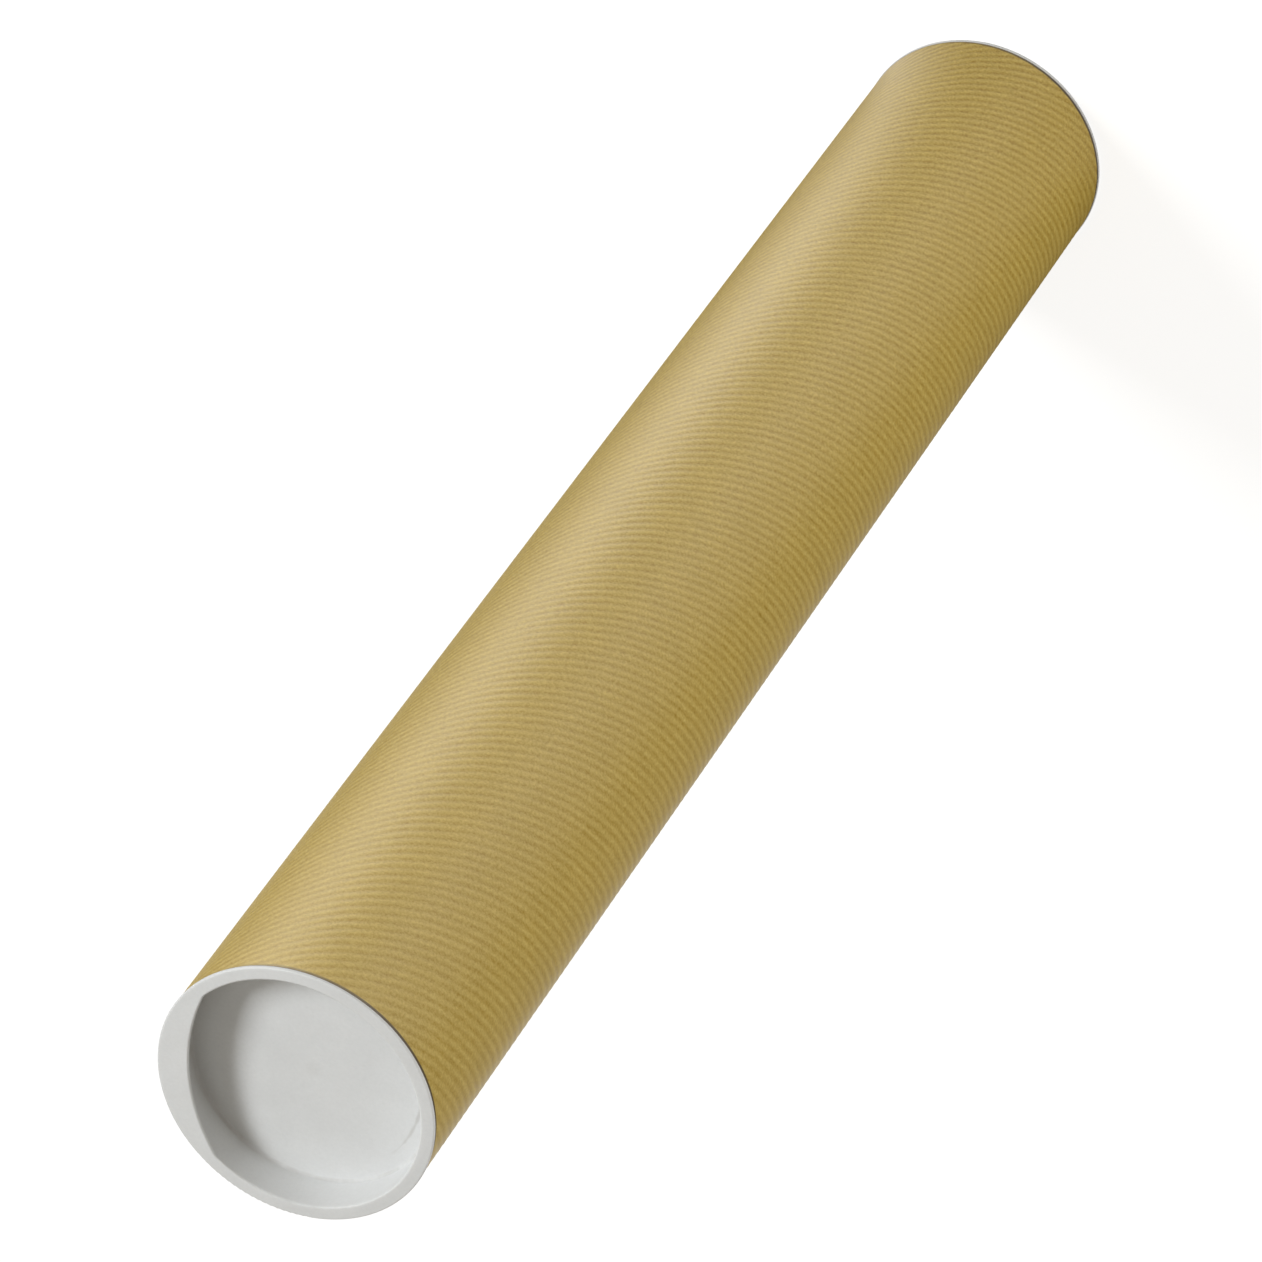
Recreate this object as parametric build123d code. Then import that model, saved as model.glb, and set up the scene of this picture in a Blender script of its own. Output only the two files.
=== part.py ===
from build123d import *
import os

# A cardboard mailing tube that stands on its end: a spirally wound board tube with a push-in
# plastic cap in each end. +Z runs up the tube's axis, the lower cap's outer face lies on z = 0,
# and both caps have their thumb lip towards +X. Millimetres.

# ---- Tube: plies of board glued into one wall, cut square at both ends ----
tube_length = 430.0
tube_bore = 60.0
tube_wall = 1.5
cut_edge_round = 0.25  # the knife-cut edges are a little worn

# ---- End caps: one moulding, used twice ----
flange_thickness = 0.9
flange_overhang = 0.15  # how far the flange stands out past the tube's side
plug_clearance = 0.05  # radial, between the plug and the bore
plug_length = 10.0  # from the flange's seat to the plug's toe
plug_wall = 1.45
plug_floor = 1.2  # the plate that closes the plug
toe_length = 2.5  # the lead-in at the plug's toe
toe_taper = 0.35  # how much the lead-in narrows the plug's radius
recess_draft = 0.15  # how much the recess narrows from its mouth to its floor, on the radius
floor_round = 0.9  # inside corner between the recess wall and its floor

# Thumb lip: a thin crescent, level with the flange, that reaches over part of the recess
lip_reach = 4.0  # from the recess wall to the lip's edge, at the lip's middle
lip_edge_radius = 46.5  # the lip's inner edge is an arc of this radius
lip_corner_round = 3.0  # where that arc runs into the recess's mouth

# Rounds on the cap's thin edges
flange_front_round = 0.35
flange_back_round = 0.2
mouth_round = 0.4
lip_under_round = 0.25

# ---- Sizes that follow from those above ----
bore_radius = tube_bore / 2
tube_radius = bore_radius + tube_wall
flange_radius = tube_radius + flange_overhang
plug_radius = bore_radius - plug_clearance
recess_radius = plug_radius - plug_wall
recess_floor_radius = recess_radius - recess_draft
toe_radius = plug_radius - toe_taper
floor_level = plug_floor - plug_length  # the recess's floor, below the flange's seat
lip_arc_x = (recess_radius - lip_reach) - lip_edge_radius  # centre of the lip's edge

lower_seat = flange_thickness  # the tube's lower end sits on the lower cap's flange
upper_seat = lower_seat + tube_length


def mouth_outline():
    """The recess's mouth: a circle that the thumb lip's arc cuts off on the +X side."""
    outline = Circle(recess_radius) & Pos(lip_arc_x, 0) * Circle(lip_edge_radius)
    return fillet(outline.vertices(), lip_corner_round)


def flange_plate():
    """The flange and its thumb lip: one thin plate from z = 0 up, with every edge rounded."""
    plate = extrude(Circle(flange_radius) - mouth_outline(), flange_thickness)
    front = plate.faces().sort_by(Axis.Z)[-1]
    back = plate.faces().sort_by(Axis.Z)[0]
    rim_front = front.outer_wire().edges()
    mouth_front = front.inner_wires()[0].edges()
    rim_back = back.outer_wire().edges()
    mouth_back = back.inner_wires()[0].edges()
    plate = fillet(rim_front, flange_front_round)
    plate = fillet(matching(plate, mouth_front), mouth_round)
    plate = fillet(matching(plate, rim_back), flange_back_round)
    return fillet(matching(plate, mouth_back), lip_under_round)


def matching(solid, edges):
    """The edges of solid that have the same middles as the given ones."""
    middles = [edge @ 0.5 for edge in edges]
    return [e for e in solid.edges() if any((e @ 0.5 - m).length < 1e-4 for m in middles)]


def plug_cup():
    """The plug: a round cup, open at the flange, that closes the bore with its floor."""
    wall_top = flange_thickness / 2  # the wall ends inside the flange plate
    section = Polyline(
        (0, floor_level),
        (recess_floor_radius, floor_level),
        (recess_radius, 0),
        (recess_radius, wall_top),
        (plug_radius, wall_top),
        (plug_radius, toe_length - plug_length),
        (toe_radius, -plug_length),
        (0, -plug_length),
        close=True,
    )
    face = make_face(section)
    corner = face.vertices().sort_by_distance((recess_floor_radius, floor_level))[0]
    return revolve(Plane.XZ * fillet(corner, floor_round), Axis.Z)


def end_cap():
    """One cap with its flange's seat on z = 0, its plug below and its outer face above."""
    return plug_cup() + flange_plate()


def board_tube():
    """The board tube, from z = 0 up to its full length."""
    tube = extrude(Circle(tube_radius) - Circle(bore_radius), tube_length)
    ends = tube.edges().filter_by(GeomType.CIRCLE)
    return fillet(ends, cut_edge_round)


cap = end_cap()
parts = {
    "tube": Pos(0, 0, lower_seat) * board_tube(),
    "top_cap": Pos(0, 0, upper_seat) * cap,
    "bottom_cap": Pos(0, 0, lower_seat) * Rot(180, 0, 0) * cap,
}

os.makedirs("parts", exist_ok=True)
for node, shape in parts.items():
    shape.label = node
    export_step(shape, f"parts/{node}.step")
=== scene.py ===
"""Looks of a cardboard mailing tube that stands on its end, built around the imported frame. Metres."""

import math

import bmesh
import bpy
from mathutils import Matrix, Vector


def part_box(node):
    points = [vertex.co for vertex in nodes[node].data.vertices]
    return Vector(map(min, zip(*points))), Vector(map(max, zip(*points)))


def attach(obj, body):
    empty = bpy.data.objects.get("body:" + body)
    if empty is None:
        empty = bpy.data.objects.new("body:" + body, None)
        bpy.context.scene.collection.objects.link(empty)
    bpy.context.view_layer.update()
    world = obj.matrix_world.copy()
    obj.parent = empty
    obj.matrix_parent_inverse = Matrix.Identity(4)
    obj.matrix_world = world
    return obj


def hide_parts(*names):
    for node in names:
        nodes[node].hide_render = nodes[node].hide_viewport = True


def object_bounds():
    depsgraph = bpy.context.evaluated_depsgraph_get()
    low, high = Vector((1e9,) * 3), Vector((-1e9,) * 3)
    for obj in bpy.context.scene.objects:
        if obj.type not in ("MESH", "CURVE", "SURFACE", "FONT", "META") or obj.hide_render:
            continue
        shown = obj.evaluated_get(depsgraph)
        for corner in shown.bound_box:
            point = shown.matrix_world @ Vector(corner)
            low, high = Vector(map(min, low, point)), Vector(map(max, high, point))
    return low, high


MM = 0.001
NOISE_RANGE = (0.3, 0.7)  # a noise texture seldom leaves this

# ---- Camera ----
CAMERA_AZIMUTH = -31.7
CAMERA_ELEVATION = 51.36
CAMERA_ROLL = -143.96  # the view is turned, so that the tube's top is at the lower left
CAMERA_DISTANCE = 1.797  # to the point that it looks at
CAMERA_HEIGHT_SHARE = 0.5518  # that point is on the tube's axis, at this share of the height
CAMERA_LENS = 224.1  # mm, on Blender's 36 mm sensor
CAMERA_SHIFT = (-0.0025, -0.002)  # of the picture's width, to the right and up
CAMERA_REACH = 20  # nothing further off is rendered

# ---- Kraft ribs: fine ribs in the outer ply, which wind round the tube with it ----
RIB_COUNT = 42  # ribs met on one turn round the tube
RIB_LEAD = 126.6 * MM  # how far up the tube a rib climbs in one turn
RIB_RELIEF = 0.03 * MM  # from the mean surface to a rib's crest
RIB_SHADE = 0.10  # how much lighter a rib's crest is than the mean, and darker its furrow
GRAIN_SHADE = 0.22  # the same for the paper's grain
LOWER_CONTRAST = 1.35  # ribs and grain are this much stronger at the tube's lower end
RIB_FADE = 0.8 * MM  # the ribs run out this close to a cut end
POINTS_PER_RIB = 6
ROW_HEIGHT = 1.3 * MM
BORE_COARSER = 8  # the smooth bore has this many times fewer rows

# ---- Kraft's pattern: the size of each kind of lump, and how strong it is ----
KRAFT_CLOUDS = 9 * MM
RIB_BENDS, RIB_BEND = 6 * MM, 0.35  # radians of a rib's phase that the bends reach
RIB_PATCHES = 3 * MM  # where the ribs are fainter or stronger
KRAFT_GRAIN = 0.6 * MM
KRAFT_FLECKS = 1.6 * MM
KRAFT_ROUGHNESS = (0.33, 0.42)
KRAFT_GLOSS = 0.5

# ---- Cut ends of the board ----
CUT_ROUND = 0.25 * MM
CUT_ROUND_STEPS = 4
PLY_THICKNESS = 0.3 * MM
CUT_DARK = 0.35 * MM  # the board's cut ends are darkened this far in, as the saw's browning and as painted shade of the gap under the caps
BROWNED_AND_SHADED_EDGE = (0.75 * MM, 0.95 * MM)  # the kraft's browning and the painted shadow under the caps' flanges fade out between these distances
# the painted shadow under the flange is darkest at this azimuth
EDGE_SHADE_AZIMUTH = -75
EDGE_SHADE_STRENGTH = (0.1, 0.95)  # strength of the browning and painted shadow on the far side from there, and there

# ---- Plain board's pattern ----
BOARD_CLOUDS = 14 * MM
BOARD_GRAIN = 1.2 * MM
BOARD_ROUGHNESS = 0.85

# ---- Cap plastic's pattern ----
CAP_CLOUDS = 12 * MM
CAP_SCRATCHES = 1.1 * MM
CAP_SPECKS = 0.8 * MM
CAP_WAVES = 7 * MM
CAP_ROUGHNESS = (0.5, 0.62)
CAP_GLOSS = 0.35
CAP_GLOW, CAP_GLOW_DEPTH = 0.3, 2 * MM  # how much light goes into the plastic, and how far

# ---- Cap marks, and painted shade in the recess ----
GRIME_PATCHES = 5 * MM
CORNER_GRIME_AND_SHADE = (0.45 * MM, 0.8 * MM)  # grime and painted shade end between these distances from the sharp corner
LIP_SHADE_REACH = 5 * MM  # painted shade of the lip reaches this far out from it, under the lip
LIP_SHADE_STRENGTH = 0.35
GATE_RADIUS = 1.8 * MM
GATE_STRENGTH = 0.07
SCUFF_RADIUS = 24.6 * MM  # a scuffed line on the recess's floor, opposite the lip
SCUFF_WIDTH = 0.45 * MM
SCUFF_STRENGTH = 0.3
SCUFF_WAVER = 0.25 * MM
SCUFF_SPAN = (math.radians(5), math.radians(48))  # how far it runs, from -X towards +Y

# ---- Light ----
KEY_AZIMUTH, KEY_ELEVATION = 52, 49
KEY_DISTANCE, KEY_SIZE = 1.6, 0.5
KEY_WATTS = 15.5
KEY_COLOUR = (0.95, 0.98, 1.0)
FILL_AZIMUTH = -86  # low beside the tube, so that it lights the tube's side and not its end
FILL_DISTANCE = 1.8
FILL_WIDTH, FILL_HEIGHT = 1.2, 0.36
FILL_LOWEST = 0.01  # its lower edge, above the table
FILL_WATTS = 10
SKY_STRENGTH = 0.37
SKY_COLOUR = (1.0, 0.94, 0.84)
TABLE_SIZE = 30
TABLE_GREY = 0.8  # its colour for the light that it throws on the tube
TABLE_GLOW = 0.8  # its glow where it is looked at, on top of the light that falls on it
TABLE_LOOKED_AT = 0.4  # its grey there
# How bright the glowing panels round the tube are, seen only in reflections, that paint the highlight
# on its gloss: azimuth and strength
GLOSS_GLOW_PANELS = (
    (-180, 0.45),
    (-140, 0.1),
    (-105, 0.05),
    (-60, 1.0),
    (-32, 1.8),
    (0, 1.3),
    (42, 3.0),
    (75, 0.8),
    (100, 0.1),
    (140, 1.0),
)
MOST_GLOSS_GLOW = 3.5
PANEL_NEAR, PANEL_FAR = 0.03, 0.12  # from the tube's axis: where the panels start and are full
PANEL_START = 0.36  # how bright they are where they start, as a share: a painted shade of the tube's foot in its reflection

# ---- Colours, linear ----
KRAFT = (0.525, 0.372, 0.087)
PALING = (0.85, 1.15, 2.4)  # how much each channel changes where kraft pales
DEEPEST = 0.12  # the least that a channel is darkened to, as a share of the mean
LOWER_TINT = (1.0, 0.985, 0.8)  # what the kraft is multiplied by at its lower end
KRAFT_INSIDE = (0.42, 0.33, 0.20)
# colour of the saw's browning and of the painted shade in the gap under the caps' flanges
CUT_BROWN_AND_SHADE = (0.14, 0.10, 0.06)
CAP_WHITE = (0.744, 0.751, 0.751)
# colour of grime and marks, and of the painted shade in the cap's recess
GRIME_AND_SHADE = (0.33, 0.30, 0.26)


# ---- Small helpers for node materials ----
class Nodes:
    """One material's node tree, with short calls for the nodes that are used here."""

    def __init__(self, name):
        self.material = bpy.data.materials.new(name)
        self.material.use_nodes = True
        self.tree = self.material.node_tree
        self.shader = self.tree.nodes["Principled BSDF"]
        self.output = self.tree.nodes["Material Output"]

    def add(self, kind, **settings):
        node = self.tree.nodes.new(kind)
        for key, value in settings.items():
            setattr(node, key, value)
        return node

    def join(self, source, target):
        self.tree.links.new(source, target)

    def feed(self, node, index, value):
        """Gives an input a number, a colour or another node's output."""
        if isinstance(value, bpy.types.NodeSocket):
            self.join(value, node.inputs[index])
        else:
            node.inputs[index].default_value = value

    def math(self, operation, *values):
        node = self.add("ShaderNodeMath", operation=operation)
        for index, value in enumerate(values):
            self.feed(node, index, value)
        return node.outputs[0]

    def place(self):
        return self.add("ShaderNodeTexCoord").outputs["Object"]

    def split(self, vector):
        node = self.add("ShaderNodeSeparateXYZ")
        self.join(vector, node.inputs[0])
        return node.outputs

    def noise(self, vector, size, detail=3.0, roughness=0.55):
        """Noise whose lumps are about size across, from 0 to 1."""
        node = self.add("ShaderNodeTexNoise")
        self.join(vector, node.inputs["Vector"])
        node.inputs["Scale"].default_value = 1 / size
        node.inputs["Detail"].default_value = detail
        node.inputs["Roughness"].default_value = roughness
        return node.outputs["Fac"]

    def remap(self, value, low, high, new_low, new_high):
        """Turns low to high into new_low to new_high, and stays between those two."""
        node = self.add("ShaderNodeMapRange")
        for index, number in enumerate((value, low, high, new_low, new_high)):
            self.feed(node, index, number)
        return node.outputs[0]

    def spread(self, noise, new_low, new_high):
        """Turns the usual range of a noise into new_low to new_high."""
        return self.remap(noise, *NOISE_RANGE, new_low, new_high)

    def length(self, first, second):
        """The length of a vector with these two parts."""
        squares = [self.math("MULTIPLY", part, part) for part in (first, second)]
        return self.math("SQRT", self.math("ADD", *squares))

    def azimuth(self, x, y):
        return self.math("ARCTAN2", x, self.math("MULTIPLY", y, -1.0))

    def mix(self, share, first, second, blend="MIX"):
        node = self.add("ShaderNodeMix", data_type="RGBA", blend_type=blend)
        self.feed(node, 0, share)
        self.feed(node, 6, first)
        self.feed(node, 7, second)
        return node.outputs[2]

    def bump(self, height, distance, strength=1.0, normal=None):
        node = self.add("ShaderNodeBump")
        node.inputs["Distance"].default_value = distance
        node.inputs["Strength"].default_value = strength
        self.join(height, node.inputs["Height"])
        if normal is not None:
            self.join(normal, node.inputs["Normal"])
        return node.outputs[0]


def rgba(colour, brightness=1.0):
    return tuple(channel * brightness for channel in colour) + (1.0,)


# ---- Materials ----
def kraft_paper(low_z, high_z):
    """Ribbed kraft: yellowish brown with darker furrows, cloudy fibres, flecks and a faint gloss. Near
    the tube's cut ends it has browning and painted shadow of the caps' flanges, darkest on one side."""
    n = Nodes("ribbed_kraft")
    place = n.place()
    x, y, z = n.split(place)
    grain = n.noise(place, KRAFT_GRAIN, detail=2.0, roughness=0.7)

    clouds = n.spread(n.noise(place, KRAFT_CLOUDS), 0, 1)
    colour = n.mix(clouds, rgba(KRAFT, 0.975), rgba(KRAFT, 1.03))
    colour = n.mix(n.remap(z, low_z, high_z, 1, 0), colour, rgba(LOWER_TINT), "MULTIPLY")
    paler = n.math("ADD", rib_shade(n, place), n.remap(grain, 0.25, 0.75, -GRAIN_SHADE, GRAIN_SHADE))
    paler = n.math("MULTIPLY", paler, n.remap(z, low_z, high_z, LOWER_CONTRAST, 1.0))
    shade = n.add("ShaderNodeCombineColor")
    for index, share in enumerate(PALING):
        channel = n.math("MULTIPLY_ADD", paler, share, 1.0)
        n.join(n.math("MAXIMUM", channel, DEEPEST), shade.inputs[index])
    colour = n.mix(1.0, colour, shade.outputs[0], "MULTIPLY")
    flecks = n.noise(place, KRAFT_FLECKS, detail=2.0)
    colour = n.mix(n.remap(flecks, 0.68, 0.8, 0, 0.25), colour, rgba(KRAFT, 0.6))

    # painted shadow under the caps' flanges, with browning: a band by each cut end, darkest on one side
    from_cut = n.math("MINIMUM", n.math("SUBTRACT", z, low_z), n.math("SUBTRACT", high_z, z))
    off_darkest = n.math("SUBTRACT", n.azimuth(x, y), math.radians(EDGE_SHADE_AZIMUTH))
    most_shaded = n.remap(n.math("COSINE", off_darkest), -0.2, 0.8, *EDGE_SHADE_STRENGTH)
    browned_and_shaded = n.math("MULTIPLY", n.remap(from_cut, *BROWNED_AND_SHADED_EDGE, 1, 0), most_shaded)
    colour = n.mix(browned_and_shaded, colour, rgba(CUT_BROWN_AND_SHADE, 0.6))
    n.join(colour, n.shader.inputs["Base Color"])
    n.join(n.spread(grain, *KRAFT_ROUGHNESS), n.shader.inputs["Roughness"])
    n.shader.inputs["Specular IOR Level"].default_value = KRAFT_GLOSS
    n.join(n.bump(grain, 0.03 * MM, 0.4), n.shader.inputs["Normal"])
    return n.material


def rib_shade(n, place):
    """How much lighter the kraft is on the ribs' crests, and darker in their furrows."""
    x, y, z = n.split(place)
    climb = n.math("MULTIPLY", z, 2 * math.pi / RIB_LEAD)
    phase = n.math("MULTIPLY", n.math("SUBTRACT", n.math("ARCTAN2", y, x), climb), RIB_COUNT)
    bend = n.spread(n.noise(place, RIB_BENDS, detail=1.0), -RIB_BEND, RIB_BEND)
    crest = n.math("COSINE", n.math("ADD", phase, bend))
    patchy = n.math("MULTIPLY", crest, n.spread(n.noise(place, RIB_PATCHES), 0.6, 1.4))
    return n.math("MULTIPLY", patchy, RIB_SHADE)


def board(low_z, high_z):
    """The plain board inside the tube, and the darker cut ends, with the saw's browning and painted
    shade of the gap under the caps, where its plies show as rings.
    """
    n = Nodes("plain_board")
    middle_z, half_length = (high_z + low_z) / 2, (high_z - low_z) / 2
    place = n.place()
    x, y, z = n.split(place)
    ring = n.math("SINE", n.math("MULTIPLY", n.length(x, y), 2 * math.pi / PLY_THICKNESS))
    grain = n.noise(place, BOARD_GRAIN, detail=4.0, roughness=0.7)
    clouds = n.spread(n.noise(place, BOARD_CLOUDS), 0, 1)
    colour = n.mix(clouds, rgba(KRAFT_INSIDE, 0.93), rgba(KRAFT_INSIDE, 1.05))
    colour = n.mix(n.remap(ring, 0.3, 1.0, 0, 0.18), colour, rgba(KRAFT_INSIDE, 0.55))
    colour = n.mix(n.remap(grain, 0.35, 0.65, 0.25, 0), colour, rgba(KRAFT_INSIDE, 0.7))
    # painted shade of the gap under the caps, with the saw's browning, darkens the cut ends
    from_middle = n.math("ABSOLUTE", n.math("SUBTRACT", z, middle_z))
    cut = n.remap(from_middle, half_length - CUT_DARK, half_length - 0.8 * CUT_DARK, 0, 1)
    colour = n.mix(cut, colour, rgba(CUT_BROWN_AND_SHADE))
    n.join(colour, n.shader.inputs["Base Color"])
    n.shader.inputs["Roughness"].default_value = BOARD_ROUGHNESS
    n.join(n.bump(grain, 0.05 * MM, 0.7), n.shader.inputs["Normal"])
    return n.material


def cap_plastic(height, recess_depth, recess_radius):
    """Soft white moulded polyethylene, slightly cloudy and finely uneven, with a satin gloss."""
    n = Nodes("white_polyethylene")
    place = n.place()
    scratches = n.noise(place, CAP_SCRATCHES, detail=5.0, roughness=0.7)
    waves = n.noise(place, CAP_WAVES, detail=1.0)
    clouds = n.spread(n.noise(place, CAP_CLOUDS, detail=2.0), 0, 1)
    colour = n.mix(clouds, rgba(CAP_WHITE, 0.965), rgba(CAP_WHITE, 1.02))
    colour = n.mix(n.remap(scratches, 0.62, 0.74, 0, 0.2), colour, rgba(CAP_WHITE, 0.75))
    colour = n.mix(n.spread(n.noise(place, CAP_SPECKS), 0.2, 0), colour, rgba(CAP_WHITE, 0.8))

    x, y, z = n.split(place)
    radius = n.length(x, y)
    from_middle = n.math("ABSOLUTE", n.math("SUBTRACT", z, height / 2))
    above_floor = n.math("SUBTRACT", from_middle, height / 2 - recess_depth)
    floor_only = n.remap(above_floor, 0.2 * MM, 0.6 * MM, 1, 0)
    patches = n.noise(place, GRIME_PATCHES, detail=2.0)
    # painted shade in the recess's corner and under the lip, with some grime
    colour = grime_and_painted_shade(n, colour, x, radius, above_floor, patches, recess_radius)
    for mark in (gate_mark(n, radius, patches), scuffed_line(n, x, y, radius, patches)):
        colour = n.mix(n.math("MULTIPLY", mark, floor_only), colour, rgba(GRIME_AND_SHADE))

    n.join(colour, n.shader.inputs["Base Color"])
    n.join(n.remap(scratches, 0.35, 0.7, *CAP_ROUGHNESS), n.shader.inputs["Roughness"])
    n.shader.inputs["Specular IOR Level"].default_value = CAP_GLOSS
    n.shader.inputs["Subsurface Weight"].default_value = CAP_GLOW
    n.shader.inputs["Subsurface Radius"].default_value = (1.0, 0.95, 0.9)
    n.shader.inputs["Subsurface Scale"].default_value = CAP_GLOW_DEPTH
    scratched = n.bump(scratches, 0.02 * MM, 0.5)
    n.join(n.bump(waves, 0.12 * MM, 0.6, scratched), n.shader.inputs["Normal"])
    return n.material


def grime_and_painted_shade(n, colour, x, radius, above_floor, patches, recess_radius):
    """The colour darkened in the corner round the recess's floor by grime and by painted shade, and
    further out from it under the lip by painted shade of the lip."""
    from_corner = n.length(n.math("SUBTRACT", radius, recess_radius), above_floor)
    corner = n.remap(from_corner, *CORNER_GRIME_AND_SHADE, 1, 0)
    corner_grime_and_shade = n.math("MULTIPLY", corner, n.remap(patches, 0.35, 0.65, 0.05, 0.3))
    colour = n.mix(corner_grime_and_shade, colour, rgba(GRIME_AND_SHADE))
    # painted shade under the lip: strongest near the corner, fainter up the wall, on the lip's side
    # only
    lip_shade = n.remap(from_corner, CORNER_GRIME_AND_SHADE[0], LIP_SHADE_REACH, LIP_SHADE_STRENGTH, 0)
    lip_shade = n.math("MULTIPLY", lip_shade, n.remap(above_floor, 0.5 * MM, 3 * MM, 1, 0.3))
    under_lip = n.remap(x, 0, recess_radius, 0, 1)
    return n.mix(n.math("MULTIPLY", lip_shade, under_lip), colour, rgba(GRIME_AND_SHADE))


def gate_mark(n, radius, patches):
    """How strongly the faint ragged spot shows in the middle of the recess's floor."""
    ragged = n.math("ADD", radius, n.math("MULTIPLY", patches, GATE_RADIUS))
    return n.remap(ragged, GATE_RADIUS, 2 * GATE_RADIUS, GATE_STRENGTH, 0)


def scuffed_line(n, x, y, radius, patches):
    """How strongly the scuffed line shows: an arc that fades out at both ends."""
    turn = n.math("ARCTAN2", y, n.math("MULTIPLY", x, -1.0))
    along = n.math("SUBTRACT", 1.0, n.math("ABSOLUTE", n.remap(turn, *SCUFF_SPAN, -1, 1)))
    off_line = n.math("ABSOLUTE", n.math("SUBTRACT", radius, SCUFF_RADIUS))
    off_line = n.math("ADD", off_line, n.spread(patches, -SCUFF_WAVER, SCUFF_WAVER))
    strength = n.remap(off_line, 0, SCUFF_WIDTH, SCUFF_STRENGTH, 0)
    return n.math("MULTIPLY", strength, n.remap(along, 0, 0.4, 0, 1))


def stage_white():
    """The light table that the tube stands on: white where it is looked at, with the soft shadow
    kept. What the tube's faint gloss mirrors is a darker table with glowing panels round the tube, seen
    only in reflections, which paint the tube's highlight."""
    n = Nodes("light_table")
    n.shader.inputs["Base Color"].default_value = rgba((TABLE_GREY,) * 3)
    n.shader.inputs["Roughness"].default_value = 1.0

    looked_at = n.add("ShaderNodeAddShader")
    glow = n.add("ShaderNodeEmission")
    glow.inputs["Strength"].default_value = TABLE_GLOW
    dim = n.add("ShaderNodeBsdfDiffuse")
    dim.inputs["Color"].default_value = rgba((TABLE_LOOKED_AT,) * 3)
    n.join(glow.outputs[0], looked_at.inputs[0])
    n.join(dim.outputs[0], looked_at.inputs[1])

    x, y, _ = n.split(n.place())
    ramp = n.add("ShaderNodeValToRGB")
    n.join(n.remap(n.azimuth(x, y), -math.pi, math.pi, 0, 1), ramp.inputs[0])
    stops = ramp.color_ramp.elements
    stops.remove(stops[1])
    for index, (azimuth, strength) in enumerate(GLOSS_GLOW_PANELS):
        position = (azimuth + 180) / 360
        stop = stops.new(position) if index else stops[0]
        stop.position = position
        stop.color = rgba((strength / MOST_GLOSS_GLOW,) * 3)
    ramp.color_ramp.interpolation = "EASE"
    # painted highlight: the panels glow only for reflections
    reflected_glow = n.add("ShaderNodeEmission")
    reach = n.remap(n.length(x, y), PANEL_NEAR, PANEL_FAR, PANEL_START * MOST_GLOSS_GLOW, MOST_GLOSS_GLOW)
    n.join(n.math("MULTIPLY", ramp.outputs[0], reach), reflected_glow.inputs["Strength"])

    seen = n.add("ShaderNodeLightPath").outputs
    glossy = n.add("ShaderNodeMixShader")
    n.join(n.math("MAXIMUM", seen["Is Glossy Ray"], seen["Is Transmission Ray"]), glossy.inputs[0])
    n.join(n.shader.outputs[0], glossy.inputs[1])
    n.join(reflected_glow.outputs[0], glossy.inputs[2])
    both = n.add("ShaderNodeMixShader")
    n.join(seen["Is Camera Ray"], both.inputs[0])
    n.join(glossy.outputs[0], both.inputs[1])
    n.join(looked_at.outputs[0], both.inputs[2])
    n.join(both.outputs[0], n.output.inputs["Surface"])
    return n.material


# ---- Pieces ----
def radial(vertex):
    return math.hypot(vertex.co.x, vertex.co.y)


def rounded(corner_radius, corner_z, toward_axis, upwards):
    """Points of a quarter round between the tube's side and its cut end, from side to end."""
    side = -1 if toward_axis else 1
    up = 1 if upwards else -1
    centre_radius = corner_radius - side * CUT_ROUND
    centre_z = corner_z - up * CUT_ROUND
    points = []
    for step in range(1, CUT_ROUND_STEPS + 1):
        angle = math.pi / 2 * step / CUT_ROUND_STEPS
        points.append(
            (
                centre_radius + side * CUT_ROUND * math.cos(angle),
                centre_z + up * CUT_ROUND * math.sin(angle),
            )
        )
    return points


def ribbed_tube(node, skin, core):
    """The board tube with its ribs in real relief. Each column of points follows one line of a rib."""
    low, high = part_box(node.name)
    radii = [radial(v) for v in node.data.vertices]
    outer, inner = max(radii), min(radii)
    columns = RIB_COUNT * POINTS_PER_RIB
    rows = round((high.z - low.z - 2 * CUT_ROUND) / ROW_HEIGHT)
    bottom, top = low.z + CUT_ROUND, high.z - CUT_ROUND

    profile = [(outer, bottom + (top - bottom) * i / rows, True) for i in range(rows + 1)]
    profile += [(r, z, False) for r, z in rounded(outer, high.z, False, True)]
    profile += [(r, z, False) for r, z in reversed(rounded(inner, high.z, True, True))]
    inside_rows = rows // BORE_COARSER
    profile += [(inner, top + (bottom - top) * i / inside_rows, False) for i in range(inside_rows + 1)]
    profile += [(r, z, False) for r, z in rounded(inner, low.z, True, False)]
    profile += [(r, z, False) for r, z in reversed(rounded(outer, low.z, False, False))]

    mesh = bmesh.new()
    rings = []
    for radius, z, ribbed in profile:
        ring = []
        for column in range(columns):
            phase = 2 * math.pi * column / POINTS_PER_RIB
            angle = 2 * math.pi * (column / columns + z / RIB_LEAD)
            r = radius
            if ribbed:
                fade = min(1.0, min(z - bottom, top - z) / RIB_FADE)
                r += fade * RIB_RELIEF * math.cos(phase) - RIB_RELIEF
            ring.append(mesh.verts.new((r * math.cos(angle), r * math.sin(angle), z)))
        rings.append(ring)
    for index, ring in enumerate(rings):
        following = rings[(index + 1) % len(rings)]
        outside = index < rows
        for column in range(columns):
            beside = (column + 1) % columns
            face = mesh.faces.new((ring[column], ring[beside], following[beside], following[column]))
            face.smooth = True
            face.material_index = 0 if outside else 1
    data = bpy.data.meshes.new("ribbed_kraft_tube")
    mesh.to_mesh(data)
    mesh.free()
    data.materials.append(skin)
    data.materials.append(core)
    piece = bpy.data.objects.new("ribbed_kraft_tube", data)
    bpy.context.scene.collection.objects.link(piece)
    return piece


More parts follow.
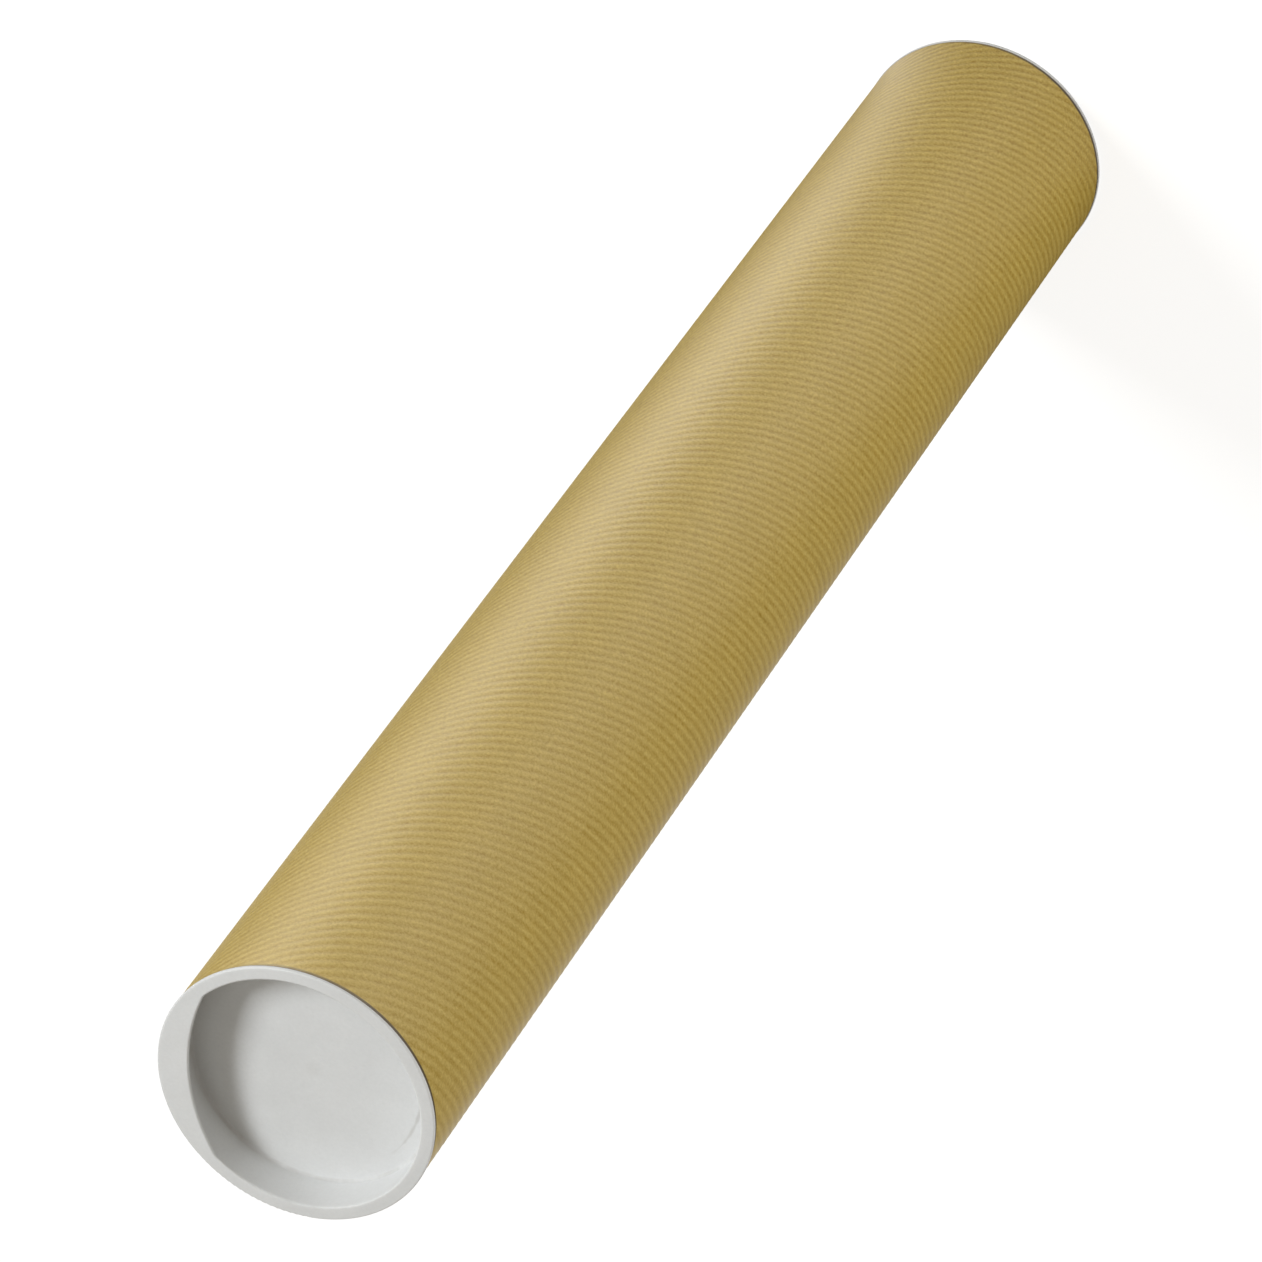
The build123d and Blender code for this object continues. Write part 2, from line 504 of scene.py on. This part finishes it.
def recess(cap, rim_z):
    """How deep the upper cap's recess is, and its radius just above the floor's rounding."""
    above_rim, above_rounding = 10 * MM, 1.5 * MM
    _, floor, _, _ = cap.ray_cast((0, 0, rim_z + above_rim), (0, 0, -1))
    _, wall, _, _ = cap.ray_cast((0, 0, floor.z + above_rounding), (0, 1, 0))
    return rim_z - floor.z, wall.y


# ---- Stage ----
def direction(azimuth, elevation):
    turn, rise = math.radians(azimuth), math.radians(elevation)
    return Vector((math.sin(turn) * math.cos(rise), -math.cos(turn) * math.cos(rise), math.sin(rise)))


def add_camera(height):
    back = direction(CAMERA_AZIMUTH, CAMERA_ELEVATION)
    aim = Vector((0, 0, height * CAMERA_HEIGHT_SHARE))
    data = bpy.data.cameras.new("camera")
    data.lens = CAMERA_LENS
    data.shift_x, data.shift_y = CAMERA_SHIFT
    data.clip_end = CAMERA_REACH
    camera = bpy.data.objects.new("camera", data)
    turn = (-back).to_track_quat("-Z", "Y").to_matrix().to_4x4()
    roll = Matrix.Rotation(math.radians(CAMERA_ROLL), 4, "Z")
    camera.matrix_world = Matrix.Translation(aim + back * CAMERA_DISTANCE) @ turn @ roll
    bpy.context.scene.collection.objects.link(camera)
    bpy.context.scene.camera = camera


def add_softbox(name, azimuth, elevation, distance, size, watts, aim, colour=(1, 1, 1)):
    data = bpy.data.lights.new(name, "AREA")
    data.shape = "RECTANGLE"
    data.size, data.size_y = size
    data.energy = watts
    data.color = colour
    lamp = bpy.data.objects.new(name, data)
    away = direction(azimuth, elevation)
    lamp.location = aim + away * distance
    lamp.rotation_mode = "QUATERNION"
    lamp.rotation_quaternion = (-away).to_track_quat("-Z", "Y")
    bpy.context.scene.collection.objects.link(lamp)


def add_world():
    world = bpy.data.worlds.new("studio")
    world.use_nodes = True
    tree = world.node_tree
    light = tree.nodes["Background"]
    light.inputs["Color"].default_value = rgba(SKY_COLOUR)
    light.inputs["Strength"].default_value = SKY_STRENGTH
    white = tree.nodes.new("ShaderNodeBackground")
    white.inputs["Color"].default_value = (1, 1, 1, 1)
    seen = tree.nodes.new("ShaderNodeLightPath")
    both = tree.nodes.new("ShaderNodeMixShader")
    tree.links.new(seen.outputs["Is Camera Ray"], both.inputs[0])
    tree.links.new(light.outputs[0], both.inputs[1])
    tree.links.new(white.outputs[0], both.inputs[2])
    tree.links.new(both.outputs[0], tree.nodes["World Output"].inputs["Surface"])
    bpy.context.scene.world = world


def add_floor(width):
    bpy.ops.mesh.primitive_plane_add(size=width, location=(0, 0, 0))
    floor = bpy.context.object
    floor.name = "floor"
    floor.data.materials.append(stage_white())


# ---- Scene ----
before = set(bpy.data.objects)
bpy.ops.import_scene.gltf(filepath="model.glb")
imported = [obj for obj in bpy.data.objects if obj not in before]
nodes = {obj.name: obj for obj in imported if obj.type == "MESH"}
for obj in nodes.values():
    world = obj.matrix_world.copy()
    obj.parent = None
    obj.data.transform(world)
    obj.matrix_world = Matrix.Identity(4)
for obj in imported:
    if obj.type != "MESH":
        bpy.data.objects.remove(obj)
cad_low, cad_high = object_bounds()
height = cad_high.z - cad_low.z

tube_low, tube_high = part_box("tube")
recess_depth, recess_radius = recess(nodes["top_cap"], cad_high.z)
skin, core = kraft_paper(tube_low.z, tube_high.z), board(tube_low.z, tube_high.z)
plastic = cap_plastic(height, recess_depth, recess_radius)
tube = ribbed_tube(nodes["tube"], skin, core)
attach(tube, "tube")
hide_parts("tube")

for name in ("top_cap", "bottom_cap"):
    cap = nodes[name]
    cap.data.materials.clear()
    cap.data.materials.append(plastic)

add_camera(height)
middle = Vector((0, 0, height / 2))
key_size = (KEY_SIZE, KEY_SIZE)
add_softbox("key", KEY_AZIMUTH, KEY_ELEVATION, KEY_DISTANCE, key_size, KEY_WATTS, middle, KEY_COLOUR)
fill_size = (FILL_WIDTH, FILL_HEIGHT)
fill_aim = Vector((0, 0, FILL_LOWEST + FILL_HEIGHT / 2))
add_softbox("fill", FILL_AZIMUTH, 0, FILL_DISTANCE, fill_size, FILL_WATTS, fill_aim)
add_world()
add_floor(TABLE_SIZE)

scene = bpy.context.scene
scene.view_settings.view_transform = "Standard"
